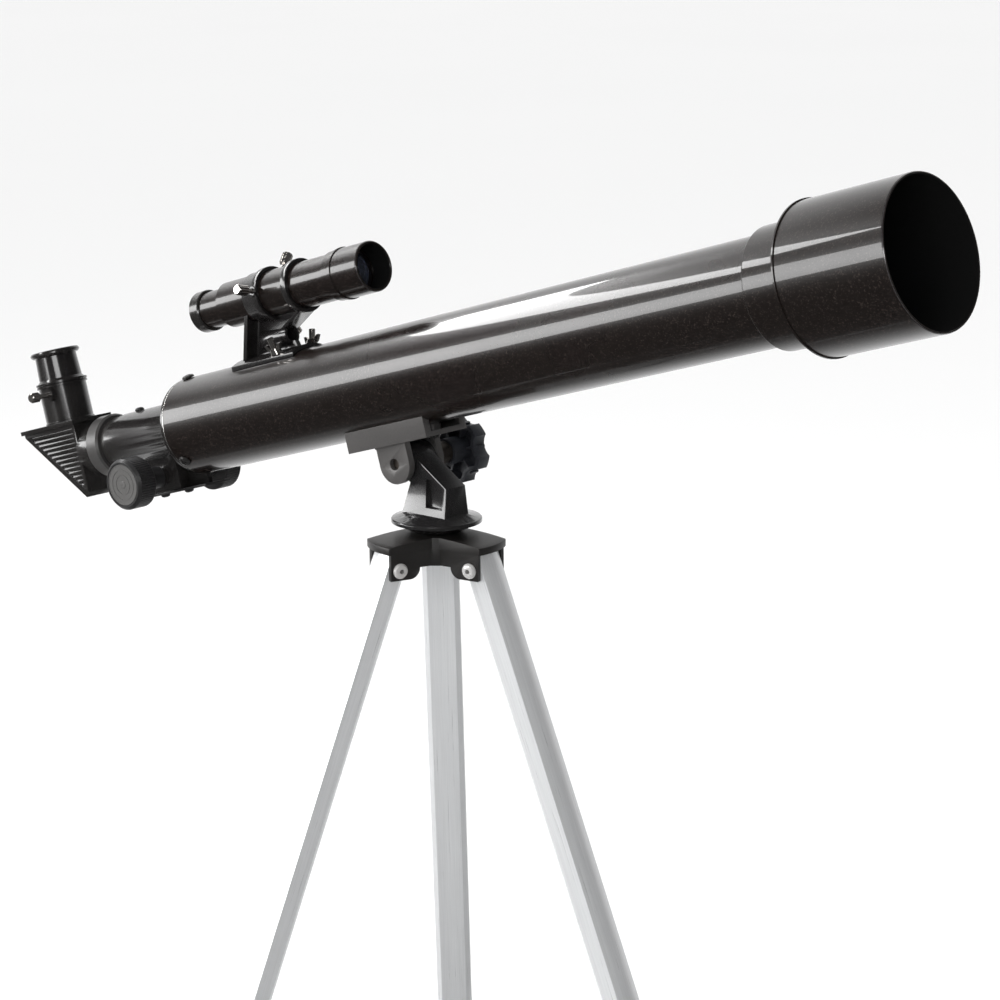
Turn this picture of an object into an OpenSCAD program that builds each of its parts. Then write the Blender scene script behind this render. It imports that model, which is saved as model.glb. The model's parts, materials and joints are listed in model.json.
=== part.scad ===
// Small refracting telescope on an alt-azimuth yoke and a folding aluminium tripod.
// Origin on the floor under the tripod's axis, +Z up, +X is the way the tube heads.
// Tube pieces are drawn in the tube's own frame: u along the tube, v sideways, w up.

/* [Optical tube] */
// Outer radius of the main tube
tube_r = 30; // [29.9:0.05:30]
// Elevation of the tube at rest, degrees
tube_tilt = 16.4; // [15:0.2:18]
// Rear end of the main tube, behind the altitude axis
tube_rear = -171.4; // [-173:0.2:-170]
// Front end of the dew shield, ahead of the altitude axis
shield_front = 382.5; // [370:1:395]
// Outer radius of the dew shield
shield_r = 41.5; // [39:0.5:43]
// Radius of the objective lens
lens_r = 26; // [25:0.25:26]

/* [Finder] */
// Height of the finder's axis above the tube's axis
finder_h = 66.5; // [65:0.5:68]
// Outer radius of the finder's tube
finder_r = 13.9; // [13.5:0.1:13.9]

/* [Mount] */
// Altitude axis, ahead of the tripod axis
alt_x = -18.9; // [-20:0.1:-18]
// Altitude axis above the turntable
alt_h = 30.8; // [30:0.1:32]
// Tube axis above the altitude axis
tube_h = 48.2; // [48:0.1:50]
// Radius of the turntable disc
disc_r = 26.5; // [25:0.5:28]

/* [Tripod] */
// Angle of each leg from the vertical, degrees
leg_spread = 20.2; // [19.5:0.1:20.5]
// Length from a leg's hinge to the floor
leg_reach = 640; // [634:1:646]
// Half width of a leg's section
leg_w = 10.9; // [10.5:0.1:10.9]
// Angle of the brace arms above the horizontal, degrees
brace_rise = 38; // [36:1:40]

/* [Hidden] */

$fn = 96;
e = 0.01;                 // overlap that lets a cut pass through a face
gap = 0.3;                // room between faces of different moving bodies
fit = 0.05;               // running fit of a shaft in its hole, on the radius
seat = 0.02;              // room of a piece pressed or screwed in its seat

black = [0.06, 0.055, 0.055];
matt = [0.12, 0.12, 0.13];
grey = [0.5, 0.49, 0.48];
nickel = [0.78, 0.76, 0.74];
alu = [0.82, 0.83, 0.84];
glass = [0.6, 0.7, 0.8, 0.5];

// tube, cell and shield
wall = 1.5;
cell_r = 33.5;
cell_u = 286.8;
cell_end = 315.5;
ring_seat = 2.4;          // depth of the retaining ring's thread
shield_u = 312.8;
tube_end = 300;
lens_seat = 304;

// focuser
body_r = 17.7;
body_step = -234.5;
body_end = -247;
draw_r = 14.5;
draw_bore = 12.9;
nose_r = 12.25;
collar_r = 19.7;
collar_u = [-258.5, -247.3];
knob_u = -203.4;
pitch_r = 8;
pinion_teeth = 20;
pinion_w = -(draw_r + 3.1 + pitch_r);
shaft_r = 2.5;
knob_r = 15.9;
knob_y = [30, 44];
block_u = [-221, -189];
cover_w = -36;
travel = 60;

// diagonal and eyepiece
diag_u = -289.5;
house_u = [-319.5, -270];
house_half = 15;
plate_w = [19, 21.6];
holder_r = 15.4;
holder_top = 45.4;

// mount
bolt_r = 3.5;
barrel_half = 10.2;
ear_v = [10.5, 15];
ear_r = 11.7;
cradle_u = 32;
cradle_v = 17.4;
cradle_w = [-36.8, -24.4];
knob_hub_y = 28.7;
star_y = [36.5, 46];

// tripod head, heights below the turntable's top
pivot_r = 31;
pivot_drop = 25.65;
cap_drop = 15.8;
ear_drop = 31.4;
rivet_r = 2.5;
hub_half = 14.5;
hub_slot = 11.2;
leg_az = [9, 129, 249];
pivot_z = leg_reach * cos(leg_spread);
head_z = pivot_z + pivot_drop;

// legs, along the leg from its hinge, positive up the leg
leg_top = 6.3;
upper_end = -575;
lower_top = -120;
lower_end = -631.5;
arm_hinge = [-16, -588];
arm_half = 4;
hub_pin_r = 25;

// brace arm from its hinge on the leg to the pin of the brace hub
hinge_r = pivot_r - arm_hinge[1] * sin(leg_spread) + arm_hinge[0] * cos(leg_spread);
hinge_z = pivot_z + arm_hinge[1] * cos(leg_spread) + arm_hinge[0] * sin(leg_spread);
arm_len = (hinge_r - hub_pin_r) / cos(brace_rise);
brace_z = hinge_z + arm_len * sin(brace_rise);
arm_slide = 19;           // the pin slides this far along the arm's slot
slot_half = 2.75;
pin_r = 1.5;

// ---- frames and shapes used by several pieces ----

module tube_frame() {
    translate([alt_x, 0, head_z + alt_h]) rotate([0, -tube_tilt, 0])
        translate([0, 0, tube_h]) children();
}

// a body turned about u, from points [radius, u]
module turned(points) { rotate([0, 90, 0]) rotate_extrude() polygon(points); }

module ring(r_out, r_in, from, to) {
    turned([[r_in, from], [r_out, from], [r_out, to], [r_in, to]]);
}

// a cylinder along u, v or w between two places
module bar_u(r, from, to) { translate([from, 0, 0]) rotate([0, 90, 0]) cylinder(r = r, h = to - from); }
module bar_v(r, from, to) { translate([0, from, 0]) rotate([-90, 0, 0]) cylinder(r = r, h = to - from); }
module bar_w(r, from, to) { translate([0, 0, from]) cylinder(r = r, h = to - from); }

module box(low, high) { translate(low) cube(high - low); }

// an outline in the x-z plane, thick along y
module slab(from, to) { translate([0, to, 0]) rotate([90, 0, 0]) linear_extrude(to - from) children(); }

// a lens about u, its faces bulging by front and back
module lens(r, u, thick, back, front) {
    n = 12;
    turned(concat(
        [for (i = [0:n]) [r * i / n, u - back * (1 - pow(i / n, 2))]],
        [for (i = [n:-1:0]) [r * i / n, u + thick + front * (1 - pow(i / n, 2))]]
    ));
}

// a small knurled thumbscrew along x: its tip at 0, its head's end at len
module thumbscrew(len, shank, head, head_len) {
    bar_u(shank, 0, len - head_len + e);
    difference() {
        turned([[0, len - head_len], [head - 0.6, len - head_len], [head, len - head_len + 0.6],
            [head, len - 0.8], [head - 0.8, len], [0, len]]);
        for (a = [0:30:330]) rotate([a, 0, 0])
            translate([len - head_len - e, 0, head + 0.35]) rotate([0, 90, 0])
                cylinder(r = 0.7, h = head_len + 1, $fn = 24);
    }
}

module pan_screw(head, shank, len) {
    bar_w(shank, -len, e);
    difference() {
        rotate_extrude() polygon([[0, 0], [head, 0], [head, 0.7], [head * 0.8, 1.5], [head * 0.4, 1.9], [0, 2]]);
        for (a = [0, 90]) rotate([0, 0, a]) box([-head * 0.55, -0.45, 1.2], [head * 0.55, 0.45, 3]);
    }
}

// ---- optical tube ----

module main_tube() {
    color(black) tube_frame() difference() {
        ring(tube_r, tube_r - wall, tube_rear, tube_end);
        tube_screw_places() bar_w(2, -4, 4);
        for (u = [-22, 22]) translate([u, 0, 0]) bar_w(2, -tube_r - 2, -tube_r + 4);
        bracket_places() bar_w(2, -4, 4);
    }
}

module tube_screw_places() {
    for (a = [10, 130, 250]) rotate([a, 0, 0]) translate([-165.5, 0, tube_r]) children();
}

module bracket_places() {
    rotate([17.5, 0, 0]) translate([-80, 0, tube_r]) children();
    rotate([-17.5, 0, 0]) translate([-69, 0, tube_r]) children();
}

module objective_cell() {
    color(black) tube_frame() turned([
        [tube_r + fit, cell_u], [cell_r - 0.8, cell_u], [cell_r, cell_u + 0.8],
        [cell_r, cell_end - 0.5], [cell_r - 0.5, cell_end], [lens_r + 3, cell_end],
        [lens_r + 3, cell_end - ring_seat], [lens_r + fit, cell_end - ring_seat],
        [lens_r + fit, lens_seat],
        [lens_r - 1, lens_seat], [lens_r - 1, tube_end + 0.1], [tube_r + fit, tube_end + 0.1]
    ]);
}

module dew_shield() {
    back = shield_u + 3;
    color(black) tube_frame() turned([
        [cell_r + fit, shield_u], [shield_r - 0.6, shield_u], [shield_r + 0.7, shield_u + 0.6],
        [shield_r + 0.7, shield_u + 1.6], [shield_r, shield_u + 1.9],
        [shield_r, shield_front - 0.8], [shield_r - 0.4, shield_front],
        [shield_r - 1.1, shield_front], [shield_r - 1.5, shield_front - 0.4],
        [shield_r - 1.5, back], [cell_r + fit, back]
    ]);
}

module objective_lenses() {
    color(glass) tube_frame() {
        lens(lens_r, lens_seat + 0.1, 4.4, 0.2, -1.2);
        lens(lens_r, lens_seat + 4.7, 4.2, 1.1, 1.6);
    }
}

module lens_retainer() {
    from = cell_end - ring_seat + 0.02;
    color(matt) tube_frame() difference() {
        ring(lens_r + 3 - seat, lens_r - 1, from, cell_end - 0.3);
        for (a = [0, 180]) rotate([a, 0, 0])
            box([from + 1, -1.2, lens_r - 2], [cell_end, 1.2, lens_r + 4]);
    }
}

module focuser_body() {
    color(matt) tube_frame() difference() {
        union() {
            turned([
                [draw_r + fit, body_end], [body_r - 1, body_end], [body_r - 0.7, body_end + 0.4],
                [body_r - 0.7, body_step], [body_r, body_step + 0.3], [body_r, -178],
                [body_r + 2.6, tube_rear - 2.4], [tube_r - 0.4, tube_rear - 2.4],
                [tube_r - 0.4, tube_rear - seat], [tube_r - wall - seat, tube_rear - seat],
                [tube_r - wall - seat, -156], [tube_r - 4, -156], [tube_r - 4, tube_rear + 3],
                [draw_r + fit, tube_rear + 3]
            ]);
            // tunnel over the rack, and the block that holds the pinion's shaft
            box([body_end, -5, -20.6], [tube_rear - 1, 5, -12]);
            box([block_u[0], -10, cover_w + 0.05], [block_u[1], 10, -12]);
            box([block_u[1] - e, -1.5, cover_w + 0.05], [tube_rear - 1, 1.5, -12]);
            for (s = [-1, 1]) translate([knob_u, 0, pinion_w]) bar_v(5.2, min(s * 9, s * 14), max(s * 9, s * 14));
        }
        bar_u(draw_r + fit, body_end - 1, -150);
        box([body_end - 1, -3.4, -19.3], [tube_rear + 4, 3.4, -10]);
        translate([knob_u, 0, pinion_w]) {
            bar_v(shaft_r + fit, -20, 20);
            bar_v(9.4, -6.4, 6.4);
        }
        tube_screw_places() bar_w(1.9, -8, 4);
        cover_screw_places() bar_w(1.3, -9, 1);
        tension_screw_place() bar_w(1.3, -9, 1);
    }
}

// two screws under the pinion's cover
module cover_screw_places() {
    for (u = [-216, -193.5]) translate([u, 0, cover_w - 1.4]) rotate([180, 0, 0]) children();
}

// the tension screw on top of the focuser's body
module tension_screw_place() {
    translate([-222, 0, body_r + 0.03]) children();
}

module focuser_screws() {
    color(matt) tube_frame() {
        cover_screw_places() pan_screw(2.9, 1.3 - seat, 4.5);
        tension_screw_place() pan_screw(2.9, 1.3 - seat, 2.9);
    }
}

module pinion_cover() {
    color(matt) tube_frame() difference() {
        box([block_u[0] - 1.5, -10.8, cover_w - 1.4], [-166, 10.8, cover_w]);
        cover_screw_places() bar_w(1.3, -9, 1);
    }
}

// three rear screws and two in the cradle, all the same
module pan_screws() {
    color(nickel) tube_frame() {
        tube_screw_places() translate([0, 0, 0.3]) pan_screw(3.9, 1.9 - seat, 5);
        for (u = [-22, 22]) translate([u, 0, cradle_w[0]]) rotate([180, 0, 0])
            pan_screw(3.9, 1.9 - seat, 9);
    }
}

// ---- cradle under the tube and its altitude clamp ----

module cradle() {
    color(grey) tube_frame() difference() {
        union() {
            difference() {
                box([-cradle_u, -cradle_v, cradle_w[0]], [cradle_u, cradle_v, cradle_w[1] + 0.6]);
                box([-cradle_u - 1, 5 - cradle_v, cradle_w[0] + 3], [cradle_u + 1, cradle_v - 5, 0]);
            }
            for (u = [-22, 22]) translate([u, 0, 0]) bar_w(5, cradle_w[0] + 1, -29);
            for (s = [0, 1]) mirror([0, s, 0]) {
                translate([0, 0, -tube_h]) bar_v(ear_r, ear_v[0], ear_v[1]);
                box([-ear_r, ear_v[0], -tube_h], [ear_r, ear_v[1], cradle_w[0] + 1]);
            }
        }
        bar_u(tube_r + seat, -cradle_u - 1, cradle_u + 1);
        translate([0, 0, -tube_h]) bar_v(bolt_r + seat, -20, 20);
        for (u = [-22, 22]) translate([u, 0, 0]) bar_w(1.9, cradle_w[0] - 1, -20);
    }
}

module altitude_bolt() {
    color(nickel) tube_frame() translate([0, 0, -tube_h]) {
        bar_v(bolt_r, -12, 44);
    }
}

module altitude_washer() {
    color(nickel) tube_frame() translate([0, 0, -tube_h]) difference() {
        union() {
            bar_v(8.6, ear_v[1] + 0.02, ear_v[1] + 1.6);
            bar_v(6.6, ear_v[1] + 1.5, knob_hub_y - gap);
        }
        bar_v(bolt_r + seat, 10, 40);
    }
}

// six-lobed outline
module star(r, cut) {
    difference() {
        circle(r);
        for (a = [0:60:300]) rotate(a + 56) translate([25.3, 0]) circle(cut);
    }
}

module altitude_knob() {
    color(matt) tube_frame() translate([0, 0, -tube_h]) difference() {
        union() {
            bar_v(8, knob_hub_y, star_y[1]);
            slab(star_y[0], star_y[1]) difference() { star(20, 9); star(17.6, 11.4); }
            slab(star_y[1] - 2, star_y[1] - e) star(19, 10);
            for (a = [0:60:300]) rotate([0, a + 4, 0])
                box([6, star_y[0] + 2.5, -0.8], [17.5, star_y[1] - 1, 0.8]);
            slab(star_y[1] - e, star_y[1] + 0.8) circle(12);
        }
        bar_v(bolt_r + fit, knob_hub_y - 1, 44 + gap);
        bar_v(6.4, knob_hub_y - 1, knob_hub_y + 2);
    }
}

// ---- finder ----

module finder_bracket() {
    color(black) tube_frame() difference() {
        union() {
            // saddle on the main tube
            intersection() {
                ring(tube_r + 2.6, tube_r + seat, -116, -62);
                box([-117, -14.5, 20], [-61, 14.5, 40]);
            }
            // sloping rear wall, middle web and the front shelf
            slab(-10.5, 10.5) polygon([[-109, 31.2], [-106, 31.2], [-95, 61], [-98, 61]]);
            slab(-1.6, 1.6) polygon([[-107, 31], [-69, 31], [-73, 43], [-56.5, 53], [-56.5, 56], [-97, 56]]);
            slab(-7, 7) polygon([[-73.5, 43.4], [-55, 52], [-55, 54], [-75, 44.7]]);
            translate([0, 0, 40]) bar_u(5.9, -97, -73.5);
            // two rings, the rear one on a short sleeve
            translate([0, 0, finder_h]) {
                bar_u(15, -93.5, -82);
                bar_u(16.3, -83.6, -79.6);
                bar_u(16.3, -58, -54);
            }
            for (a = screw_turns) finder_radial(a) bar_w(3, 14.8, 17);
        }
        translate([0, 0, 40]) bar_u(4.1, -93, -70);
        translate([0, 0, finder_h]) bar_u(finder_r + 0.05, -101, -50);
        bracket_places() bar_w(2, -4, 6);
        for (a = screw_turns) finder_radial(a) bar_w(1.5 + fit, 12, 20);
    }
}

screw_turns = [78, -42, 206];

// a radial place on the finder's rear ring, turned from straight up towards the near side
module finder_radial(a) {
    translate([-81.6, 0, finder_h]) rotate([a, 0, 0]) children();
}

module finder_screw(k) {
    color(nickel) tube_frame() finder_radial(screw_turns[k])
        rotate([0, -90, 0]) translate([13.95, 0, 0]) thumbscrew(15.5, 1.5, 3.3, 8);
}

module bracket_hardware() {
    color(nickel) tube_frame() bracket_places() {
        bar_w(2 - seat, -3, 12.5);
        difference() {
            union() {
                translate([0, 0, 2.62]) cylinder(r1 = 3.8, r2 = 3, h = 3.4);
                for (s = [-1, 1]) translate([0, 0, 2.62]) slab(-0.9, 0.9)
                    polygon([[s * 2.2, 0.6], [s * 5, 2], [s * 6.4, 5.8], [s * 4.4, 5.8], [s * 2.2, 3.2]]);
            }
            bar_w(2 - seat / 2, 0, 14);
        }
    }
}

module finder_tube() {
    color(black) tube_frame() translate([0, 0, finder_h]) turned([
        [9.8, -136], [11.2, -136], [11.2, -119], [13.2, -118.5], [finder_r, -117.8],
        [finder_r, -10], [12.9, -10], [12.9, -116.5], [9.8, -117.5]
    ]);
}

module finder_shade() {
    color(black) tube_frame() translate([0, 0, finder_h]) turned([
        [finder_r + seat, -24.5], [15, -24.5], [15, -19], [15.7, -18.6], [15.7, -16.6], [15.1, -16.2],
        [15.1, 4.2], [14.6, 5], [13.6, 5], [13.2, 4.4], [13.2, -9], [finder_r + seat, -9.6]
    ]);
}

module finder_eyepiece() {
    color(matt) tube_frame() translate([0, 0, finder_h]) turned([
        [5.2, -144.5], [11.4, -144.5], [12.7, -143.6], [12.7, -136.8], [11.9, -136.05],
        [9.75, -136.05], [9.75, -128], [8.4, -128], [8.4, -141], [5.2, -143]
    ]);
}

module finder_lenses() {
    color(glass) tube_frame() translate([0, 0, finder_h]) {
        lens(12.85, -15, 2.4, 0.6, 1.4);
        lens(8.35, -140.5, 1.8, 0.9, 0.9);
    }
}

// ---- focus drive ----

module pinion_shaft() {
    color(nickel) tube_frame() translate([knob_u, 0, pinion_w]) {
        bar_v(shaft_r, -43, 43);
        // a toothed pinion with a gap facing the rack's tooth
        slab(-3, 3) difference() {
            circle(pitch_r + 0.35);
            for (k = [0:pinion_teeth - 1]) rotate(90 + k * 360 / pinion_teeth)
                translate([pitch_r + 0.3, 0]) circle(0.9, $fn = 24);
        }
    }
}

module focus_knobs() {
    ribs = 60;
    color(matt) tube_frame() translate([knob_u, 0, pinion_w]) for (s = [0, 1]) mirror([0, s, 0]) difference() {
        union() {
            rotate([-90, 0, 0]) rotate_extrude() polygon([
                [0, knob_y[0]], [knob_r - 0.5, knob_y[0]], [knob_r, knob_y[0] + 0.6],
                [knob_r, knob_y[1] - 2], [knob_r - 1.3, knob_y[1] - 0.4], [knob_r - 1.8, knob_y[1]],
                [knob_r - 2.6, knob_y[1]], [knob_r - 2.9, knob_y[1] - 0.5], [0, knob_y[1] - 0.5]
            ]);
            bar_v(7, 14 + gap, knob_y[0] + 1);
        }
        for (k = [0:ribs - 1]) rotate([0, k * 360 / ribs, 0])
            translate([knob_r + 0.25, 0, 0]) bar_v(0.5, knob_y[0] - 1, knob_y[1] - 1.6, $fn = 16);
        bar_v(shaft_r + seat, 0, 43.05);
    }
}

module drawtube() {
    color(nickel) tube_frame() ring(draw_r, draw_bore, -252.4, -125);
}

module drawtube_rack() {
    from = -246.5;
    color(nickel) tube_frame() difference() {
        union() {
            intersection() {
                box([from, -3, -17.95], [-138, 3, -12]);
                difference() {
                    box([from - 1, -4, -20], [-137, 4, 0]);
                    bar_u(draw_r + seat, from - 2, -130);
                }
            }
        }
        // tooth gaps at the pinion's pitch, one tooth facing the pinion
        pitch = 2 * PI * pitch_r / pinion_teeth;
        for (k = [-17:25]) translate([knob_u + (k + 0.5) * pitch, 0, -17.9]) bar_v(0.9, -4, 4, $fn = 24);
    }
}

module drawtube_collar() {
    color(matt) tube_frame() difference() {
        turned([
            [nose_r + 0.1, collar_u[0]], [collar_r - 1.2, collar_u[0]], [collar_r, collar_u[0] + 1.2],
            [collar_r, collar_u[1] - 1.2], [collar_r - 1.2, collar_u[1]],
            [draw_r + seat, collar_u[1]], [draw_r + seat, -252.5], [nose_r + 0.1, -252.5]
        ]);
    }
}

// ---- diagonal and eyepiece ----

module diagonal_nose() {
    color(nickel) tube_frame() turned([[10.4, -269.5], [nose_r, -269.5], [nose_r, -236.5],
        [nose_r - 0.5, -236], [10.4, -236]]);
}

// side outline of the diagonal, shrunk by d
module diagonal_outline(d) {
    polygon([[house_u[1] - d, plate_w[0] - d], [house_u[1] - d, -25.5 + d], [house_u[1] - 3, -28.5 + 2.4 * d],
        [house_u[0] + 2.4 * d, plate_w[0] - 2 - d], [house_u[0] + 2.4 * d, plate_w[0] - d]]);
}

module diagonal_housing() {
    ribs = 13;
    color(black) tube_frame() difference() {
        union() {
            difference() {
                slab(-house_half, house_half) diagonal_outline(0);
                for (s = [0, 1]) mirror([0, s, 0]) slab(house_half - 1, house_half + 1) diagonal_outline(2.6);
                slab(2.5 - house_half, house_half - 2.5) diagonal_outline(2);
            }
            // fine ribs in the sunk side panels
            for (s = [0, 1]) mirror([0, s, 0]) intersection() {
                slab(house_half - 1.2, house_half - 0.2) diagonal_outline(2.5);
                for (k = [0:ribs - 1]) box([-330, 0, 14.6 - k * 3], [-260, 20, 16.2 - k * 3]);
            }
            turned([[0, house_u[1] - 1], [16.4, house_u[1] - 1], [16.4, -259.6], [15.6, -258.8], [0, -258.8]]);
            box([house_u[0] - 1.5, -house_half - 1.6, plate_w[0]], [house_u[1] + 1.4, house_half + 1.6, plate_w[1]]);
        }
        bar_u(nose_r + seat, -269.5, -258);
        bar_u(11, house_u[1] - 4, -269);
        translate([diag_u, 0, 0]) bar_w(12.4, plate_w[0] - 4, plate_w[1] + 1);
    }
}

module diagonal_mirror() {
    color([0.8, 0.82, 0.84]) tube_frame() translate([diag_u, 0, 0]) rotate([0, 45, 0])
        box([-16, -12.48, -4], [16, 12.48, 0]);
}

module eyepiece_holder() {
    color(black) tube_frame() translate([diag_u, 0, 0]) difference() {
        union() {
            rotate_extrude() polygon([
                [0, plate_w[1] + 0.02], [holder_r + 0.6, plate_w[1] + 0.02], [holder_r + 0.6, plate_w[1] + 1],
                [holder_r, plate_w[1] + 1.4], [holder_r, holder_top - 0.6], [16.4, holder_top - 0.2],
                [16.4, holder_top + 1], [16, holder_top + 1.4], [0, holder_top + 1.4]
            ]);
            translate([4.2, 0, 40.6]) bar_v(4.2, -17, 0);
        }
        bar_w(nose_r + fit, plate_w[1] - 1, holder_top + 3);
        translate([4.2, 0, 40.6]) bar_v(1.6 + fit, -20, 0);
    }
}

module holder_screw() {
    color(nickel) tube_frame() translate([diag_u + 4.2, -12.1, 40.6]) rotate([0, 0, -90])
        thumbscrew(19.5, 1.6, 3.2, 6.5);
}

module eyepiece_body() {
    base = holder_top + 1.6;
    color(black) tube_frame() translate([diag_u, 0, 0]) rotate_extrude() polygon([
        [10.6, 24], [nose_r, 24], [nose_r, base], [16.6, base], [16.6, base + 1.3], [15, base + 1.7],
        [13.9, base + 3], [13.4, 62], [13.3, 64.4], [14.9, 65], [15.9, 66.2], [15.9, 67.2], [15.2, 68.2],
        [13.8, 68.5], [12.4, 67.6], [11, 65.6], [8.6, 65], [8.6, 60], [10.6, 60]
    ]);
}

module eyepiece_lenses() {
    color(glass) tube_frame() translate([diag_u, 0, 0]) rotate([0, -90, 0]) {
        lens(8.55, 62.2, 1.4, 0.9, 0.9);
        lens(10.55, 30, 2, 1.2, 0.2);
    }
}

// ---- yoke, turntable and tripod head ----

module yoke() {
    color(black) translate([0, 0, head_z]) difference() {
        union() {
            rotate_extrude() polygon([[0, -7.7], [15, -7.7], [24.4, -2.9], [disc_r, -2.4], [disc_r, -0.5],
                [26, 0], [24.8, 0.2], [17.5, 2.4], [0, 2.6]]);
            intersection() {
                slab(-12, 12) polygon([[-17.9, 1], [-13, 20], [-21, 24], [-21, 38], [-12.3, 37.6],
                    [15, 19.4], [15.6, 1]]);
                translate([-30, 0, 0]) rotate([90, 0, 90]) linear_extrude(60)
                    polygon([[-10.4, 1], [10.4, 1], [8.1, 19.5], [8.1, 45], [-8.1, 45], [-8.1, 19.5]]);
            }
            translate([alt_x, 0, alt_h]) bar_v(10.8, -barrel_half, barrel_half);
        }
        for (s = [0, 1]) mirror([0, s, 0]) slab(5.6, 13)
            polygon([[-0.8, 23.5], [4.9, 23.5], [12.4, 18.4], [12.6, 7], [0.2, 7]]);
        translate([alt_x, 0, alt_h]) bar_v(bolt_r + fit, -20, 20);
        bar_w(4 + seat, -9, 7);
    }
}

module azimuth_bolt() {
    color(nickel) translate([0, 0, head_z]) bar_w(4, -24.6, 6.9);
}

// self-locking nut in the recess under the head
module azimuth_nut() {
    color(nickel) translate([0, 0, head_z]) difference() {
        union() {
            translate([0, 0, -24.4]) cylinder(r = 7.2, h = 5, $fn = 6);
            bar_w(9, -19.6, -18.8);
        }
        bar_w(4 + seat, -30, -10);
    }
}

module tripod_hub() {
    color(matt) translate([0, 0, head_z]) difference() {
        union() {
            // domed cap with three arms
            intersection() {
                union() {
                    for (a = leg_az) rotate([0, 0, a]) box([0, -hub_half, -cap_drop], [45, hub_half, 0]);
                    bar_w(18, -cap_drop, 0);
                }
                bar_w(40.7, -20, 0);
                translate([0, 0, -7.8 - 216]) sphere(216, $fn = 96);
            }
            bar_w(18.4, -24.9, -cap_drop + 1);
            // two ears for each leg
            for (a = leg_az) rotate([0, 0, a]) for (s = [0, 1]) mirror([0, s, 0])
                slab(hub_slot, 14.2) union() {
                    translate([2, -24.9]) square([34.8, 9.6]);
                    translate([24.8, -ear_drop]) square([12, 12]);
                    translate([24.8, -24.9]) circle(6.5);
                }
        }
        bar_w(4 + fit, -40, 0);
        bar_w(11, -40, -18.5);
        for (a = leg_az) rotate([0, 0, a]) translate([pivot_r, 0, -pivot_drop])
            bar_v(rivet_r + seat, -20, 20);
        for (a = leg_az) rotate([0, 0, a]) box([20.2, -hub_slot, -40], [45, hub_slot, -cap_drop]);
    }
}

module leg_rivets() {
    head = 14.2;
    color(nickel) translate([0, 0, head_z]) for (a = leg_az) rotate([0, 0, a])
        translate([pivot_r, 0, -pivot_drop]) difference() {
            union() {
                bar_v(rivet_r, -head - 1, head + 1);
                for (s = [0, 1]) mirror([0, s, 0]) rotate([-90, 0, 0]) rotate_extrude()
                    polygon([[0, head + 0.02], [4.5, head + 0.02], [4.5, head + 0.6], [3.6, head + 1.9],
                        [2.4, head + 2.2], [0, head + 2.2]]);
            }
            bar_v(1.3, -20, 20);
        }
}

// ---- legs ----

// place things on leg k: x out, y round, z up the leg, origin at the hinge
module leg_frame(k) {
    rotate([0, 0, leg_az[k]]) translate([pivot_r, 0, pivot_z]) rotate([0, -leg_spread, 0]) children();
}

// leg section: half width, inner face, flats' outer end, height of the crown, chamfer
module leg_section(hw, inner, flat, crown, chamfer) {
    r = (hw * hw + crown * crown) / (2 * crown);
    intersection() {
        translate([flat + crown - r, 0]) circle(r, $fn = 180);
        polygon([[inner, hw - chamfer], [inner + chamfer, hw], [flat + crown + 1, hw],
            [flat + crown + 1, -hw], [inner + chamfer, -hw], [inner, chamfer - hw]]);
    }
}

module leg_bar(from, to) { translate([0, 0, from]) linear_extrude(to - from) children(); }

module upper_leg(k) {
    color(alu) leg_frame(k) difference() {
        leg_bar(upper_end, leg_top) leg_section(leg_w, -6.3, 6.3, 2.6, 3);
        leg_bar(upper_end - 1, leg_top + 1) leg_section(leg_w - 1.4, -4.9, 5.2, 2.2, 2.4);
        bar_v(rivet_r + fit, -20, 20);
    }
}

module lower_leg(k) {
    color(alu) leg_frame(k) difference() {
        leg_bar(lower_end, lower_top) leg_section(leg_w - 1.9, -4.4, 4.7, 2, 2.2);
        leg_bar(lower_end - 1, lower_top + 1) leg_section(leg_w - 3.1, -3.2, 3.5, 1.6, 1.6);
    }
}

module foot(k) {
    color(matt) intersection() {
        leg_frame(k) difference() {
            union() {
                leg_bar(-655, -610) leg_section(12, -8, 7.4, 3, 3);
                leg_bar(-626, -622) leg_section(12.8, -8.8, 8.2, 3, 3);
            }
            leg_bar(lower_end - 0.1, -600) leg_section(leg_w - 1.88, -4.42, 4.72, 2, 2.2);
        }
        box([-400, -400, 0], [400, 400, 80]);
    }
}

module leg_collar(k) {
    color(matt) leg_frame(k) difference() {
        union() {
            leg_bar(-600, -553) leg_section(14, -9.4, 8.4, 3.6, 3);
            leg_bar(-556, -553) leg_section(14.8, -10.2, 9.2, 3.6, 3);
            translate([0, 0, -586]) bar_u(7.5, 8, 15);
            for (s = [0, 1]) mirror([0, s, 0]) slab(arm_half + gap, arm_half + 3.6) union() {
                translate(arm_hinge) circle(6);
                translate([arm_hinge[0], arm_hinge[1] - 6]) square([10, 12]);
            }
        }
        leg_bar(upper_end - 0.05, -550) leg_section(leg_w + seat, -6.32, 6.32, 2.6, 3);
        leg_bar(-601, upper_end + 1) leg_section(leg_w - 1.6, -4.7, 5, 2.1, 2.2);
        translate([0, 0, -586]) bar_u(2.5 + fit, 0, 20);
        translate([arm_hinge[0], 0, arm_hinge[1]]) bar_v(2 + fit, -20, 20);
    }
}

module lock_screw(k) {
    color(matt) leg_frame(k) translate([7.1, 0, -586]) {
        bar_u(2.5, 0, 12);
        difference() {
            turned([[0, 8.2], [6, 8.2], [6, 10.4], [9.2, 11.2], [9.2, 18], [8.2, 19], [0, 19]]);
            for (a = [0:30:330]) rotate([a, 0, 0]) translate([7, 0, 10]) bar_u(1.4, 0, 15, $fn = 24);
        }
    }
}

// ---- braces and tray ----

module arm_frame(k) {
    rotate([0, 0, leg_az[k]]) translate([hinge_r, 0, hinge_z]) rotate([0, brace_rise, 0])
        mirror([1, 0, 0]) children();
}

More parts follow.
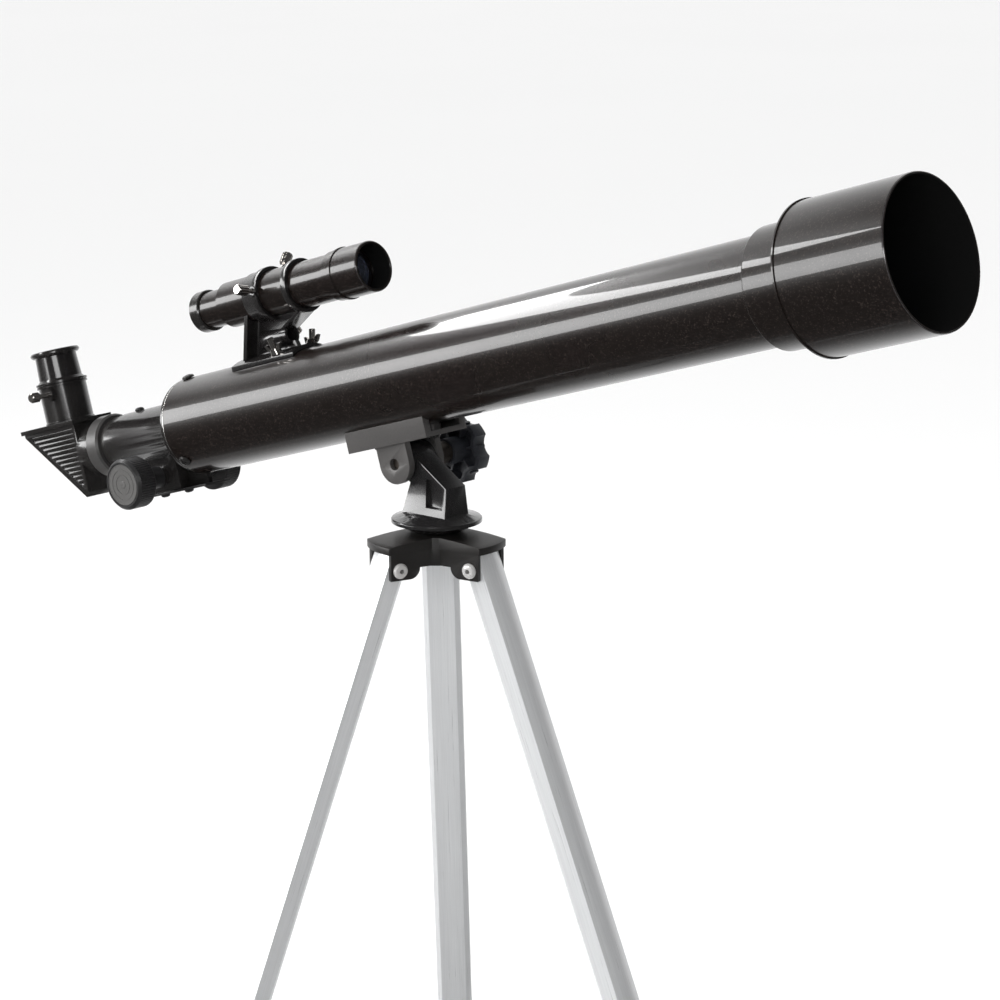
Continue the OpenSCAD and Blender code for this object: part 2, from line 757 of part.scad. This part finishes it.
// x runs from the hinge on the leg to the brace hub
module brace_arm(k) {
    from = arm_len - arm_slide;
    color(matt) arm_frame(k) difference() {
        union() {
            slab(-arm_half, arm_half) union() {
                circle(4.6);
                translate([0, -3.6]) square([from - 14, 7.2]);
            }
            slab(-1.6, 1.6) union() {
                translate([from - 16, -4.6]) square([arm_slide + 17, 9.2]);
                translate([arm_len + 1, 0]) circle(4.6);
            }
            bar_v(2, -7.4, 7.4);
        }
        // the arm is a channel, open underneath
        slab(1.4 - arm_half, arm_half - 1.4) translate([10, -5]) square([from - 30, 6.8]);
        slab(-3, 3) union() {
            translate([from, -slot_half]) square([arm_slide, 2 * slot_half]);
            for (x = [from, arm_len]) translate([x, 0]) circle(slot_half);
        }
    }
}

module brace_hub() {
    color(matt) translate([0, 0, brace_z]) difference() {
        union() {
            bar_w(9, -7, 8);
            rotate_extrude() polygon([[0, 6], [13, 6], [13, 8], [0, 8]]);
            for (a = leg_az) rotate([0, 0, a]) {
                for (s = [0, 1]) mirror([0, s, 0]) slab(2, 4.6) union() {
                    translate([hub_pin_r, 0]) circle(4.4);
                    translate([4, -4.4]) square([hub_pin_r - 4, 8.8]);
                }
                translate([hub_pin_r, 0, 0]) bar_v(pin_r, -4, 4);
            }
        }
        for (a = leg_az) rotate([0, 0, a]) slab(-2, 2) translate([9.2, -12]) square([7, 24]);
        bar_w(2.5, -10, 10);
    }
}

module tray() {
    r = 82;
    color(matt) translate([0, 0, brace_z + 8.02]) difference() {
        union() {
            bar_w(r, 0, 2.4);
            rotate_extrude() polygon([[r - 2.4, 1], [r, 1], [r, 7], [r - 2.4, 7]]);
        }
        for (a = leg_az) rotate([0, 0, a]) {
            box([28, -15, -1], [90, 15, 10]);
            // the end of a folding arm rises through this slot
            box([9.6, -2.1, -1], [29, 2.1, 10]);
        }
        bar_w(2.5 + fit, -1, 5);
    }
}

module tray_knob() {
    color(matt) translate([0, 0, brace_z + 10.5]) {
        bar_w(2.45, -12, 1);
        difference() {
            rotate_extrude() polygon([[0, gap], [9, gap], [9, 8], [7.8, 9.2], [0, 9.2]]);
            for (a = [0:45:315]) rotate([0, 0, a]) translate([10.8, 0, 0]) bar_w(2.7, -1, 12, $fn = 48);
        }
    }
}

// ---- every piece, drawn only when it is asked for ----

main_tube();
objective_cell();
dew_shield();
objective_lenses();
lens_retainer();
focuser_body();
pan_screws();
pinion_cover();
focuser_screws();
cradle();
altitude_bolt();
altitude_washer();
altitude_knob();
finder_bracket();
bracket_hardware();
finder_tube();
finder_shade();
finder_lenses();
finder_eyepiece();
finder_screw(0);  // finder_screw_1
finder_screw(1);  // finder_screw_2
finder_screw(2);  // finder_screw_3
pinion_shaft();
focus_knobs();
drawtube();
drawtube_rack();
drawtube_collar();
diagonal_nose();
diagonal_housing();
diagonal_mirror();
eyepiece_holder();
holder_screw();
eyepiece_body();
eyepiece_lenses();
yoke();
azimuth_bolt();
azimuth_nut();
tripod_hub();
leg_rivets();
upper_leg(0);  // upper_leg_1
upper_leg(1);  // upper_leg_2
upper_leg(2);  // upper_leg_3
lower_leg(0);  // lower_leg_1
lower_leg(1);  // lower_leg_2
lower_leg(2);  // lower_leg_3
foot(0);  // foot_1
foot(1);  // foot_2
foot(2);  // foot_3
leg_collar(0);  // leg_collar_1
leg_collar(1);  // leg_collar_2
leg_collar(2);  // leg_collar_3
lock_screw(0);  // lock_screw_1
lock_screw(1);  // lock_screw_2
lock_screw(2);  // lock_screw_3
brace_arm(0);  // brace_arm_1
brace_arm(1);  // brace_arm_2
brace_arm(2);  // brace_arm_3
brace_hub();
tray();
tray_knob();
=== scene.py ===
import json
import math
import bpy
from mathutils import Matrix, Vector


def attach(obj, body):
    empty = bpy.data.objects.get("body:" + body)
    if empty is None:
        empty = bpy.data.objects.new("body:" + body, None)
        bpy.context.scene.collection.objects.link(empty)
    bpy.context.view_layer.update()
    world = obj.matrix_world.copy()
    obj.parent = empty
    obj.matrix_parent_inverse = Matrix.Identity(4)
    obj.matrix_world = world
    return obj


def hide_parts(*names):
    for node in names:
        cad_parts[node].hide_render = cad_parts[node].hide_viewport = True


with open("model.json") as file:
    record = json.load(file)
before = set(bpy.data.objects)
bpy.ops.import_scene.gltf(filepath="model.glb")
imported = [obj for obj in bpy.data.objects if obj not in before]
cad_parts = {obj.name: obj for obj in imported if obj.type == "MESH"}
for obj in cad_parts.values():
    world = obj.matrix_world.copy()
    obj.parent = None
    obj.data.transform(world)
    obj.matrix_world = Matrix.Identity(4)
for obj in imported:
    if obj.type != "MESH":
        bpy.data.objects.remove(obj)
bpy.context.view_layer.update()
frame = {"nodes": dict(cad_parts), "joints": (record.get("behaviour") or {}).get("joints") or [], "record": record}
cad = frame["nodes"]

# ---- the telescope's own frame, in metres ----

MM = 0.001
TILT = math.radians(16.4)                  # of the tube above the floor
ALONG = Vector((math.cos(TILT), 0, math.sin(TILT)))
SIDE = Vector((0, 1, 0))
UP = Vector((-math.sin(TILT), 0, math.cos(TILT)))
ALTITUDE = next(Vector(j["pos_m"]) for j in frame["joints"] if j["name"] == "altitude")
TUBE_ABOVE = 48.2                          # of the tube's axis over the altitude bolt
TUBE = ALTITUDE + UP * TUBE_ABOVE * MM
TUBE_TURN = Matrix((ALONG, SIDE, UP)).transposed().to_4x4()
HEAD_Z = ALTITUDE.z - 30.8 * MM            # top of the tripod's head
FINDER = 66.5                              # of the finder's axis over the tube's
FOCUS = (-203.4, -25.6)                    # the pinion shaft, along and above the tube's axis
LEG_TURNS = (9, 129, 249)
LEG_SPREAD = math.radians(20.2)
PIVOT_R = 31
PIVOT_Z = HEAD_Z - 25.65 * MM


def tube_place(turn=None, at=(0, 0, 0)):
    """Matrix from a piece drawn in mm in the tube's frame to its place."""
    place = Matrix.Translation(TUBE) @ TUBE_TURN @ Matrix.Scale(MM, 4)
    place = place @ Matrix.Translation(at)
    return place @ turn if turn else place


def leg_place(k, turn=None, at=(0, 0, 0)):
    """Matrix from a piece drawn in mm along leg k to its place."""
    place = Matrix.Rotation(math.radians(LEG_TURNS[k]), 4, "Z")
    place = place @ Matrix.Translation((PIVOT_R * MM, 0, PIVOT_Z))
    place = place @ Matrix.Rotation(-LEG_SPREAD, 4, "Y") @ Matrix.Scale(MM, 4)
    place = place @ Matrix.Translation(at)
    return place @ turn if turn else place


TO_U = Matrix.Rotation(math.radians(90), 4, "Y")     # a piece's z becomes u
TO_V = Matrix.Rotation(math.radians(-90), 4, "X")    # a piece's z becomes v


# ---- shader maths ----

class Value:
    """A shader value: Python's operators on it add Math nodes."""

    def __init__(self, paint, socket):
        self.paint = paint
        self.socket = socket

    def do(self, operation, other, swap=False):
        pair = [other, self] if swap else [self, other]
        return self.paint.node("ShaderNodeMath", {"operation": operation}, dict(enumerate(pair)))

    def __add__(self, other): return self.do("ADD", other)
    __radd__ = __add__
    def __rsub__(self, other): return self.do("SUBTRACT", other, True)
    def __mul__(self, other): return self.do("MULTIPLY", other)
    __rmul__ = __mul__


class Paint:
    """One material and the nodes that make it."""

    def __init__(self, name, **fixed):
        self.material = bpy.data.materials.new(name)
        self.material.use_nodes = True
        self.tree = self.material.node_tree
        self.shader = self.tree.nodes["Principled BSDF"]
        for socket, value in fixed.items():
            self.shader.inputs[socket.replace("_", " ")].default_value = value

    def node(self, kind, settings=None, inputs=None, output=0):
        made = self.tree.nodes.new(kind)
        for key, value in (settings or {}).items():
            setattr(made, key, value)
        for key, value in (inputs or {}).items():
            if isinstance(value, Value):
                self.tree.links.new(value.socket, made.inputs[key])
            else:
                made.inputs[key].default_value = value
        return Value(self, made.outputs[output])

    def place(self):
        return self.node("ShaderNodeTexCoord", output="Object")

    def noise(self, scale, detail=2.0, where=None, rough=0.5):
        where = where or self.place()
        return self.node("ShaderNodeTexNoise", {}, {
            "Vector": where, "Scale": scale, "Detail": detail, "Roughness": rough})

    def vector(self, operation, a, b, output=0):
        return self.node("ShaderNodeVectorMath", {"operation": operation}, {0: a, 1: b}, output)

    def span(self, value, low, high, out_low, out_high):
        return self.node("ShaderNodeMapRange", {}, {
            "Value": value, 1: low, 2: high, 3: out_low, 4: out_high})

    def blend(self, factor, a, b):
        return self.node("ShaderNodeMix", {"data_type": "RGBA"}, {0: factor, 6: a, 7: b}, 2)

    def set(self, **links):
        for socket, value in links.items():
            self.tree.links.new(value.socket, self.shader.inputs[socket.replace("_", " ")])
        return self

    def bump(self, height, strength, distance):
        made = self.node("ShaderNodeBump", {}, {
            "Height": height, "Strength": strength, "Distance": distance})
        return self.set(Normal=made)


def rgb(r, g, b):
    return (r, g, b, 1.0)


def tube_enamel(name, inside_r=None, axis_w=0.0):
    """Gloss black enamel with fine metal flake; the bore inside inside_r is matt."""
    paint = Paint(name, Metallic=0.0, Coat_Roughness=0.03, IOR=1.5, Specular_IOR_Level=0.3)
    place = paint.place()
    flake = paint.node("ShaderNodeTexVoronoi", {"feature": "F1"}, {
        "Vector": place, "Scale": 1500.0}, output="Color")
    bright = paint.vector("DOT_PRODUCT", flake, (0.33, 0.33, 0.34), "Value")
    spark = paint.span(bright, 0.62, 0.85, 0.0, 1.0)
    cloud = paint.noise(9.0, 4.0, place)
    colour = paint.blend(spark * 0.35, rgb(0.0075, 0.005, 0.0042), rgb(0.07, 0.054, 0.047))
    rough = paint.span(cloud, 0.3, 0.7, 0.24, 0.33)
    coat = paint.span(cloud, 0.2, 0.8, 0.72, 0.62)
    if inside_r:
        axis = TUBE + UP * axis_w * MM
        from_axis = paint.vector("SUBTRACT", place, tuple(axis))
        across = paint.vector("CROSS_PRODUCT", from_axis, tuple(ALONG))
        radius = paint.node("ShaderNodeVectorMath", {"operation": "LENGTH"}, {0: across}, "Value")
        outside = paint.span(radius, (inside_r - 0.05) * MM, (inside_r + 0.05) * MM, 0.0, 1.0)
        colour = paint.blend(outside, rgb(0.004, 0.004, 0.004), colour)
        rough = rough * outside + 0.85 * (1 - outside)
        coat = coat * outside
    paint.set(Base_Color=colour, Roughness=rough, Coat_Weight=coat)
    peel = paint.noise(420.0, 2.0, place)
    return paint.bump(peel, 0.03, 0.0002).material


def plain_finish(name, dark, light, rough, metallic=0.0, coat=0.0, grain=900.0,
                 depth=0.1, cloud=14.0):
    """A moulded, painted or plated finish with a soft cloudiness and a fine grain."""
    paint = Paint(name, Metallic=metallic, Coat_Weight=coat, Coat_Roughness=0.08)
    place = paint.place()
    soft = paint.noise(cloud, 4.0, place)
    fine = paint.noise(grain, 3.0, place)
    mixed = paint.span(soft * 0.6 + fine * 0.4, 0.35, 0.65, 0.0, 1.0)
    paint.set(Base_Color=paint.blend(mixed, rgb(*dark), rgb(*light)),
              Roughness=paint.span(soft, 0.3, 0.7, rough[0], rough[1]))
    return paint.bump(fine, depth, 0.0002).material


def drawn_aluminium(name, direction):
    """Clear anodised extrusion with faint die lines along its length."""
    paint = Paint(name, Metallic=0.3, Coat_Weight=0.15, Coat_Roughness=0.3)
    place = paint.place()
    along = paint.vector("DOT_PRODUCT", place, tuple(direction), "Value")
    lengthwise = paint.node("ShaderNodeVectorMath", {"operation": "SCALE"}, {
        0: tuple(direction), "Scale": along * 0.985})
    squeezed = paint.vector("SUBTRACT", place, lengthwise)
    lines = paint.noise(1600.0, 3.0, squeezed, 0.6)
    wide = paint.noise(260.0, 2.0, squeezed)
    cloud = paint.noise(11.0, 4.0, place)
    tone = paint.span(lines * 0.5 + wide * 0.3 + cloud * 0.2, 0.35, 0.65, 0.0, 1.0)
    paint.set(Base_Color=paint.blend(tone, rgb(0.70, 0.71, 0.72), rgb(0.82, 0.83, 0.84)),
              Roughness=paint.span(lines, 0.3, 0.7, 0.27, 0.38))
    return paint.bump(lines, 0.12, 0.0001).material


def lens_glass(name, tint):
    """Coated glass: clear, with a coloured sheen that is stronger at the rim."""
    paint = Paint(name, IOR=1.52, Transmission_Weight=0.85, Coat_Weight=1.0,
                  Coat_Roughness=0.01, Coat_Tint=rgb(*tint))
    cloud = paint.noise(30.0, 2.0)
    paint.set(Base_Color=paint.blend(cloud, rgb(0.86, 0.88, 0.9), rgb(0.95, 0.96, 0.97)),
              Roughness=paint.span(cloud, 0.3, 0.7, 0.0, 0.02))
    return paint.material


enamel = tube_enamel("gloss_black_enamel")
shield_enamel = tube_enamel("shield_enamel", 40.3)
shade_enamel = tube_enamel("finder_shade_enamel", 13.4, FINDER)
cell_enamel = tube_enamel("cell_enamel", 33.3)
casting = plain_finish("dark_gloss_casting", (0.010, 0.010, 0.011), (0.017, 0.016, 0.016),
                       (0.16, 0.26), coat=0.6, grain=520.0, depth=0.12)
bracket_black = plain_finish("bracket_black", (0.010, 0.009, 0.009), (0.018, 0.017, 0.017),
                             (0.2, 0.3), coat=0.5, grain=600.0, depth=0.08)
moulding = plain_finish("satin_black_moulding", (0.013, 0.013, 0.014), (0.022, 0.021, 0.021),
                        (0.34, 0.44), grain=1100.0, depth=0.16)
gloss_moulding = plain_finish("gloss_black_moulding", (0.011, 0.010, 0.010),
                              (0.018, 0.017, 0.016), (0.17, 0.25), coat=0.4, depth=0.06)
satin_grey = plain_finish("satin_grey_cradle", (0.085, 0.082, 0.08), (0.105, 0.10, 0.098),
                          (0.36, 0.44), metallic=0.3, grain=1400.0, depth=0.12)
bright_rivet = plain_finish("bright_rivet", (0.66, 0.65, 0.64), (0.76, 0.75, 0.74),
                            (0.2, 0.3), metallic=0.45, depth=0.05)
black_screw = plain_finish("black_screw_finish", (0.018, 0.017, 0.017), (0.03, 0.029, 0.028),
                           (0.22, 0.32), metallic=0.3, depth=0.05)
knob_grey = plain_finish("blue_grey_satin", (0.022, 0.024, 0.03), (0.034, 0.036, 0.043),
                         (0.4, 0.5), grain=1300.0, depth=0.2)
hub_grey = plain_finish("satin_dark_casting", (0.013, 0.012, 0.0115), (0.021, 0.019, 0.018),
                        (0.36, 0.46), grain=1500.0, depth=0.3)
collar_grey = plain_finish("grey_collar", (0.036, 0.035, 0.034), (0.052, 0.050, 0.049),
                           (0.3, 0.38), grain=1200.0, depth=0.1)
nickel = plain_finish("bright_nickel", (0.66, 0.63, 0.6), (0.74, 0.71, 0.68),
                      (0.12, 0.2), metallic=1.0, grain=700.0, depth=0.03)
plated_tube = plain_finish("polished_plating", (0.7, 0.7, 0.71), (0.78, 0.78, 0.79),
                           (0.07, 0.12), metallic=1.0, grain=300.0, depth=0.02)
silvered = plain_finish("silvered_mirror", (0.88, 0.88, 0.89), (0.92, 0.92, 0.93),
                        (0.02, 0.04), metallic=1.0, depth=0.0)
rubber = plain_finish("foot_rubber", (0.016, 0.016, 0.016), (0.03, 0.03, 0.029),
                      (0.7, 0.85), grain=800.0, depth=0.3)
flat_black = plain_finish("flat_black", (0.005, 0.005, 0.005), (0.009, 0.009, 0.009),
                          (0.75, 0.85), grain=1500.0, depth=0.2)
bare_edge = plain_finish("bare_cut_edge", (0.55, 0.54, 0.52), (0.66, 0.65, 0.63),
                         (0.2, 0.3), metallic=1.0, depth=0.05)
# Front rims of the dew shield and the finder: a lighter, metallic enamel whose colour is a painted highlight for
# the shine on a rounded gloss black edge.
highlight_painted_enamel = plain_finish("painted_highlight_edge", (0.10, 0.095, 0.10), (0.16, 0.15, 0.155),
                             (0.16, 0.24), metallic=0.6, coat=1.0, depth=0.03)
knob_face = plain_finish("knob_face_grey", (0.085, 0.083, 0.081), (0.11, 0.108, 0.105),
                         (0.34, 0.42), metallic=0.2, depth=0.1)
# Steel with painted shade: its dark colour stands for the shadow in the near ear's recess round the altitude
# bolt's end, not for a dark finish; the altitude washer shares it.
shade_darkened_steel = plain_finish("shade_darkened_steel", (0.10, 0.085, 0.075), (0.15, 0.13, 0.115),
                          (0.3, 0.4), metallic=0.9, depth=0.05)
objective_glass = lens_glass("coated_objective", (0.75, 0.72, 1.0))
small_glass = lens_glass("coated_small_lenses", (0.8, 0.85, 1.0))

NODE_FINISH = {
    enamel: ["main_tube", "finder_tube"],
    shield_enamel: ["dew_shield"],
    cell_enamel: ["objective_cell"],
    shade_enamel: ["finder_shade"],
    casting: ["yoke"],
    bracket_black: ["finder_bracket"],
    gloss_moulding: ["focuser_body", "eyepiece_holder", "eyepiece_body", "finder_eyepiece",
                     "diagonal_housing"],
    moulding: ["pinion_cover", "focuser_screws", "focus_knobs",
               "leg_collar_1", "leg_collar_2", "leg_collar_3", "lock_screw_1", "lock_screw_2",
               "lock_screw_3", "brace_arm_1", "brace_arm_2", "brace_arm_3", "brace_hub",
               "tray", "tray_knob"],
    flat_black: ["lens_retainer"],
    satin_grey: ["cradle"],
    collar_grey: ["drawtube_collar"],
    # painted shade: the altitude bolt and washer are darkened for the recess shadow
    shade_darkened_steel: ["altitude_bolt", "altitude_washer"],
    black_screw: ["pan_screws"],
    knob_grey: ["altitude_knob"],
    hub_grey: ["tripod_hub"],
    nickel: ["bracket_hardware",
             "finder_screw_1", "finder_screw_2", "finder_screw_3", "pinion_shaft",
             "drawtube_rack", "holder_screw", "azimuth_bolt", "azimuth_nut"],
    bright_rivet: ["leg_rivets"],
    plated_tube: ["drawtube", "diagonal_nose"],
    objective_glass: ["objective_lenses"],
    small_glass: ["finder_lenses", "eyepiece_lenses"],
    silvered: ["diagonal_mirror"],
    rubber: ["foot_1", "foot_2", "foot_3"],
}


def finish(piece, material):
    piece.data.materials.clear()
    piece.data.materials.append(material)


for material, names in NODE_FINISH.items():
    for name in names:
        finish(cad[name], material)

for k, turn in enumerate(LEG_TURNS):
    down = (leg_place(k).to_3x3() @ Vector((0, 0, 1))).normalized()
    extrusion = drawn_aluminium(f"clear_anodised_{k + 1}", down)
    for part in ("upper_leg", "lower_leg"):
        finish(cad[f"{part}_{k + 1}"], extrusion)


# ---- modelling helpers ----

BODY_OF = {node: body for body, nodes in frame["record"]["behaviour"]["bodies"].items()
           for node in nodes}


def nothing_selected():
    if bpy.context.object and bpy.context.object.mode != "OBJECT":
        bpy.ops.object.mode_set(mode="OBJECT")
    bpy.ops.object.select_all(action="DESELECT")


def settle(piece, name, place, material, body, smooth=35):
    """Puts a piece drawn in mm into its place and gives it a name, finish and body."""
    nothing_selected()
    piece.select_set(True)
    bpy.context.view_layer.objects.active = piece
    bpy.ops.object.transform_apply(location=True, rotation=True, scale=True)
    piece.name = name
    piece.data.name = name
    piece.data.transform(place)
    bpy.ops.object.shade_smooth_by_angle(angle=math.radians(smooth))
    finish(piece, material)
    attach(piece, body)
    return piece


def softened(node, width, segments=2, angle=34, smooth=32):
    """A piece with rounded edges that stands for a CAD node."""
    nothing_selected()
    source = cad[node]
    source.select_set(True)
    bpy.context.view_layer.objects.active = source
    bpy.ops.object.duplicate()
    piece = bpy.context.object
    piece.parent = None
    for key in [key for key in piece.keys() if key.startswith("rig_")]:
        del piece[key]
    bpy.ops.object.mode_set(mode="EDIT")
    bpy.ops.mesh.select_all(action="SELECT")
    bpy.ops.mesh.remove_doubles(threshold=0.000002)
    bpy.ops.mesh.dissolve_limited(angle_limit=math.radians(0.5))
    bpy.ops.object.mode_set(mode="OBJECT")
    rounding = piece.modifiers.new("rounding", "BEVEL")
    rounding.width = width * MM
    rounding.segments = segments
    rounding.limit_method = "ANGLE"
    rounding.angle_limit = math.radians(angle)
    rounding.use_clamp_overlap = True
    bpy.ops.object.modifier_apply(modifier="rounding")
    piece.name = node + "_rounded"
    piece.data.name = piece.name
    bpy.ops.object.shade_smooth_by_angle(angle=math.radians(smooth))
    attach(piece, BODY_OF[node])
    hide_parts(node)
    return piece


def rim_ring(name, u, r, thick, material, body, w=0.0):
    """A rounded rim turned about the tube's axis, w above it."""
    nothing_selected()
    bpy.ops.mesh.primitive_torus_add(major_radius=r, minor_radius=thick,
                                     major_segments=128, minor_segments=12)
    return settle(bpy.context.object, name, tube_place(TO_U, (u, 0, w)), material, body)


def grooved_face(name, r, thick, rings, place, material, body):
    """A round plate whose face has raised rings, turned about z."""
    nothing_selected()
    bpy.ops.mesh.primitive_cylinder_add(vertices=96, radius=r, depth=thick, end_fill_type="NGON")
    piece = bpy.context.object
    bpy.ops.object.mode_set(mode="EDIT")
    bpy.ops.mesh.select_all(action="DESELECT")
    bpy.ops.object.mode_set(mode="OBJECT")
    for face in piece.data.polygons:
        face.select = face.normal.z > 0.9
    bpy.ops.object.mode_set(mode="EDIT")
    bpy.ops.mesh.select_mode(type="FACE")
    for step, depth in rings:
        bpy.ops.mesh.inset(thickness=step, depth=0)
        bpy.ops.mesh.extrude_region_move(TRANSFORM_OT_translate={"value": (0, 0, depth)})
    bpy.ops.object.mode_set(mode="OBJECT")
    return settle(piece, name, place, material, body, 25)


def dome_head(name, r, high, place, material, body):
    """A low round head, from a sphere cut at its middle."""
    nothing_selected()
    bpy.ops.mesh.primitive_uv_sphere_add(segments=48, ring_count=24, radius=r)
    piece = bpy.context.object
    bpy.ops.object.mode_set(mode="EDIT")
    bpy.ops.mesh.select_all(action="SELECT")
    bpy.ops.mesh.bisect(plane_co=(0, 0, 0), plane_no=(0, 0, 1), use_fill=True, clear_inner=True)
    bpy.ops.mesh.select_all(action="SELECT")
    bpy.ops.transform.resize(value=(1, 1, high / r), center_override=(0, 0, 0))
    bpy.ops.object.mode_set(mode="OBJECT")
    return settle(piece, name, place, material, body)


# ---- rounded edges on the castings and mouldings ----

ROUNDING = {
    "tripod_hub": 1.0, "yoke": 0.7, "cradle": 0.45, "diagonal_housing": 0.25,
    "altitude_knob": 0.5, "finder_bracket": 0.4, "focuser_body": 0.35, "pinion_cover": 0.3,
    "tray": 0.5, "tray_knob": 0.5, "brace_hub": 0.35,
}
for k in (1, 2, 3):
    ROUNDING.update({f"leg_collar_{k}": 0.5, f"lock_screw_{k}": 0.35, f"foot_{k}": 0.7,
                     f"brace_arm_{k}": 0.35})
for node, width in ROUNDING.items():
    softened(node, width)


# ---- rims and small trim ----

TUBE_REAR = -171.0
CELL_REAR = 287.25
HOOD_REAR, HOOD_FRONT = 313.9, 381.85
FINDER_RING, FINDER_FRONT = -17.6, 4.35

rim_ring("tube_rear_edge", TUBE_REAR, 29.6, 0.5, bare_edge, "optical_tube")
rim_ring("cell_rear_edge", CELL_REAR, 33.0, 0.45, enamel, "optical_tube")
# the shield's and the finder's front rims take the enamel with the painted highlight
rim_ring("shield_front_edge", HOOD_FRONT, 40.8, 0.6, highlight_painted_enamel, "optical_tube")
rim_ring("shield_rear_edge", HOOD_REAR, 41.55, 0.6, enamel, "optical_tube")
rim_ring("finder_front_edge", FINDER_FRONT, 14.4, 0.55, highlight_painted_enamel, "optical_tube",
         FINDER)
rim_ring("finder_middle_ring", FINDER_RING, 15.05, 0.62, enamel, "optical_tube",
         FINDER)

KNOB_FACE, KNOB_CAP = 43.65, 43.8          # from the tube's middle plane
FACE_RINGS = ((0.5, -0.18), (2.6, 0.18), (0.5, -0.18), (2.9, 0.18), (0.5, -0.18), (3.4, 0.12))
for side, turn in (("far", TO_V), ("near", Matrix.Rotation(math.radians(90), 4, "X"))):
    sign = 1 if side == "far" else -1
    grooved_face(f"focus_knob_face_{side}", 12.7, 0.4, FACE_RINGS,
                 tube_place(turn, (FOCUS[0], sign * KNOB_FACE, FOCUS[1])), knob_face,
                 "focus_drive")
    dome_head(f"focus_knob_cap_{side}", 2.4, 0.14,
              tube_place(turn, (FOCUS[0], sign * KNOB_CAP, FOCUS[1])), knob_face,
              "focus_drive")


# ---- floor, light and camera ----

def floor_and_backdrop():
    nothing_selected()
    bpy.ops.mesh.primitive_plane_add(size=60, location=(0, 0, -0.0005))
    floor = bpy.context.object
    floor.name = "floor"
    paint = Paint("pale_floor", Specular_IOR_Level=0.1)
    cloud = paint.noise(0.6, 2.0)
    paint.set(Base_Color=paint.blend(cloud, rgb(0.86, 0.86, 0.86), rgb(0.88, 0.88, 0.88)),
              Roughness=paint.span(cloud, 0.3, 0.7, 0.9, 0.95))
    finish(floor, paint.material)
    floor.visible_glossy = False    # gloss black stays black below


def soft_box(name, place, aim, size, power):
    light = bpy.data.lights.new(name, "AREA")
    light.shape = "RECTANGLE"
    light.size, light.size_y = size
    light.energy = power
    lamp = bpy.data.objects.new(name, light)
    bpy.context.scene.collection.objects.link(lamp)
    lamp.location = place
    lamp.rotation_euler = (Vector(aim) - Vector(place)).to_track_quat("-Z", "Y").to_euler()
    return lamp


LAMPS_AIM = (0, 0, 0.68)
SOFT_BOXES = {
    # name: place, width and height, power
    "top_box": ((-1.9, -0.3, 2.0), (2.4, 0.22), 22),
    "side_box": ((1.2, -2.0, 1.5), (1.2, 0.5), 14),
    "left_box": ((-1.75, -1.7, 1.05), (2.6, 0.75), 46),
}


def studio():
    """White behind and above, dark in front, so that gloss black stays black."""
    world = bpy.data.worlds.new("studio")
    bpy.context.scene.world = world
    world.use_nodes = True
    tree = world.node_tree
    back = tree.nodes["Background"]
    way = tree.nodes.new("ShaderNodeTexCoord")
    facing = tree.nodes.new("ShaderNodeVectorMath")
    facing.operation = "DOT_PRODUCT"
    facing.inputs[1].default_value = (0.62, -0.72, 0.05)
    tree.links.new(way.outputs["Generated"], facing.inputs[0])
    fade = tree.nodes.new("ShaderNodeMapRange")
    fade.interpolation_type = "SMOOTHSTEP"
    for socket, value in ((1, -0.8), (2, -0.25), (3, 1.0), (4, 0.06)):
        fade.inputs[socket].default_value = value
    tree.links.new(facing.outputs["Value"], fade.inputs["Value"])
    tree.links.new(fade.outputs["Result"], back.inputs["Strength"])
    back.inputs["Color"].default_value = rgb(1.0, 1.0, 1.0)
    for name, (place, size, power) in SOFT_BOXES.items():
        soft_box(name, place, LAMPS_AIM, size, power)
    sky = bpy.data.lights.new("overhead", "SUN")
    sky.energy = 2.9
    sky.angle = math.radians(50)
    lamp = bpy.data.objects.new("overhead", sky)
    bpy.context.scene.collection.objects.link(lamp)
    lamp.rotation_euler = (math.radians(18), math.radians(-12), 0)
    lamp.visible_glossy = False    # it fills, and draws no highlight of its own
    bpy.context.scene.view_settings.view_transform = "Standard"


VIEW_AROUND, VIEW_RISE, VIEW_ROLL = 40.84, 13.0, -0.41      # degrees
VIEW_BACK, VIEW_ASIDE, VIEW_HIGHER = 1797.5, 36.8, 9.3      # from the turntable, in mm
SENSOR, LENS = 36, 111.54


def camera():
    """Round from the side and a little up, looking at the turntable and what is round it."""
    around, rise, roll = (math.radians(a) for a in (VIEW_AROUND, VIEW_RISE, VIEW_ROLL))
    back = Vector((math.sin(around) * math.cos(rise), -math.cos(around) * math.cos(rise),
                   math.sin(rise)))
    right = Vector((math.cos(around), math.sin(around), 0))
    up = back.cross(right)
    spot = back * VIEW_BACK + right * VIEW_ASIDE + up * VIEW_HIGHER
    spot = spot * MM + Vector((0, 0, HEAD_Z))
    level = right * math.cos(roll) + up * math.sin(roll)
    upright = up * math.cos(roll) - right * math.sin(roll)
    data = bpy.data.cameras.new("camera")
    data.sensor_width = SENSOR
    data.lens = LENS
    data.clip_end = 50
    made = bpy.data.objects.new("camera", data)
    bpy.context.scene.collection.objects.link(made)
    turn = Matrix((level, upright, back)).transposed().to_4x4()
    made.matrix_world = Matrix.Translation(spot) @ turn
    bpy.context.scene.camera = made


floor_and_backdrop()
studio()
camera()
